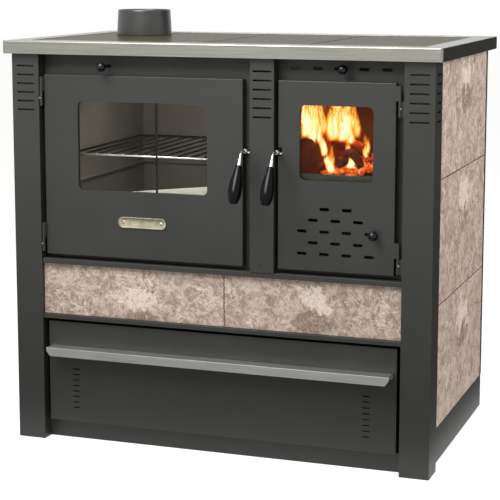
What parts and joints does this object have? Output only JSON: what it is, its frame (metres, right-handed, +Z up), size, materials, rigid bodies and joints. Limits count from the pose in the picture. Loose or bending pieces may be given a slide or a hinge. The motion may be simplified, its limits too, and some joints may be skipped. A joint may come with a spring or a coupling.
{
  "type": "wood cookstove",
  "caption": "Wood-fired cookstove with glazed oven and firebox doors, tiled sides, cast hob in a steel surround, flue collar and storage drawer.",
  "frame": {"origin": "centre of the whole box in X and Y, handles included, on the floor", "axes": "+X to the right seen from the front, +Y from the doors to the back, +Z up"},
  "size_m": [0.932, 0.6208, 0.906],
  "materials": {
    "anthracite_paint": "heat-resistant matt anthracite paint",
    "stainless": "brushed stainless steel",
    "hob_iron": "ground and polished cast iron",
    "black_enamel": "satin black paint",
    "stone_tile": "beige marble-look ceramic tile",
    "door_glass": "heat-resistant glass ceramic",
    "chrome": "bright chrome plating",
    "bakelite": "glossy black moulded grip",
    "aluminium": "brushed aluminium",
    "oven_enamel": "dark oven enamel",
    "raw_steel": "dark heat-stained sheet steel",
    "grate_iron": "rough cast iron",
    "firebrick": "sooted firebrick",
    "rope_seal": "glass-fibre sealing rope",
    "nickel": "pale nickel-plated plate"
  },
  "bodies": {
    "root": {"top_frame": "stainless", "hob_bearer": "raw_steel", "hob_plate_left": "hob_iron", "flue_collar": "black_enamel", "post_front_left": "anthracite_paint", "post_front_right": "anthracite_paint", "post_centre": "anthracite_paint", "side_panel_left": "anthracite_paint", "side_panel_right": "anthracite_paint", "side_tile_left_1": "stone_tile", "side_tile_left_2": "stone_tile", "side_tile_left_3": "stone_tile", "side_tile_right_1": "stone_tile", "side_tile_right_2": "stone_tile", "side_tile_right_3": "stone_tile", "back_panel": "anthracite_paint", "ledge_rail": "anthracite_paint", "lower_rail": "anthracite_paint", "front_tile_left": "stone_tile", "front_tile_right": "stone_tile", "plinth": "anthracite_paint", "mid_deck": "anthracite_paint", "drawer_bay_floor": "anthracite_paint", "oven_front_plate": "anthracite_paint", "firebox_front_plate": "anthracite_paint", "oven_box": "oven_enamel", "oven_rack": "chrome", "smoke_baffle": "raw_steel", "firebox_casing": "raw_steel", "hearth_plate": "grate_iron", "grate": "grate_iron", "firebrick_left": "firebrick", "firebrick_right": "firebrick", "firebrick_rear": "firebrick", "ash_pan": "raw_steel", "hinge_oven_lower": "anthracite_paint", "hinge_oven_upper": "anthracite_paint", "hinge_firebox_lower": "anthracite_paint", "hinge_firebox_upper": "anthracite_paint"},
    "oven_door": {"oven_door_panel": "anthracite_paint", "oven_door_glass": "door_glass", "oven_door_frame": "raw_steel", "oven_door_gasket": "rope_seal", "badge_plate": "nickel"},
    "oven_handle": {"oven_handle_lever": "chrome", "oven_handle_grip": "bakelite"},
    "firebox_door": {"firebox_door_panel": "anthracite_paint", "firebox_door_glass": "door_glass", "firebox_door_frame": "raw_steel", "firebox_door_gasket": "rope_seal"},
    "firebox_handle": {"firebox_handle_lever": "chrome", "firebox_handle_grip": "bakelite"},
    "primary_air_slide": {"door_air_slider": "black_enamel"},
    "secondary_air_slide": {"header_air_slider": "black_enamel"},
    "flue_damper": {"damper_slide": "black_enamel"},
    "storage_drawer": {"drawer_front": "anthracite_paint", "drawer_tray": "anthracite_paint", "drawer_handle": "aluminium"},
    "centre_hob_plate": {"hob_plate_centre": "hob_iron"},
    "right_hob_plate": {"hob_plate_right": "hob_iron"}
  },
  "joints": [
    {"name": "oven_door_hinge", "type": "hinge", "parent": "root", "child": "oven_door", "pos_m": [-0.3855, -0.2216, 0.6], "axis": [0, 0, -1], "range_deg": [0, 110]},
    {"name": "firebox_door_hinge", "type": "hinge", "parent": "root", "child": "firebox_door", "pos_m": [0.3801, -0.2216, 0.6], "axis": [0, 0, 1], "range_deg": [0, 110]},
    {"name": "oven_handle_turn", "type": "hinge", "parent": "oven_door", "child": "oven_handle", "pos_m": [0.0685, -0.22, 0.639], "axis": [0, 1, 0], "range_deg": [0, 50]},
    {"name": "firebox_handle_turn", "type": "hinge", "parent": "firebox_door", "child": "firebox_handle", "pos_m": [0.135, -0.22, 0.639], "axis": [0, -1, 0], "range_deg": [0, 50]},
    {"name": "primary_air_slide_travel", "type": "slide", "parent": "firebox_door", "child": "primary_air_slide", "axis": [-1, 0, 0], "range_m": [0, 0.015]},
    {"name": "secondary_air_slide_travel", "type": "slide", "parent": "root", "child": "secondary_air_slide", "axis": [-1, 0, 0], "range_m": [0, 0.015]},
    {"name": "flue_damper_pull", "type": "slide", "parent": "root", "child": "flue_damper", "axis": [0, -1, 0], "range_m": [0, 0.08]},
    {"name": "storage_drawer_slide", "type": "slide", "parent": "root", "child": "storage_drawer", "axis": [0, -1, 0], "range_m": [0, 0.36]},
    {"name": "centre_hob_plate_lift", "type": "slide", "parent": "root", "child": "centre_hob_plate", "axis": [0, 0, 1], "range_m": [0, 0.12]},
    {"name": "right_hob_plate_lift", "type": "slide", "parent": "root", "child": "right_hob_plate", "axis": [0, 0, 1], "range_m": [0, 0.12]}
  ]
}
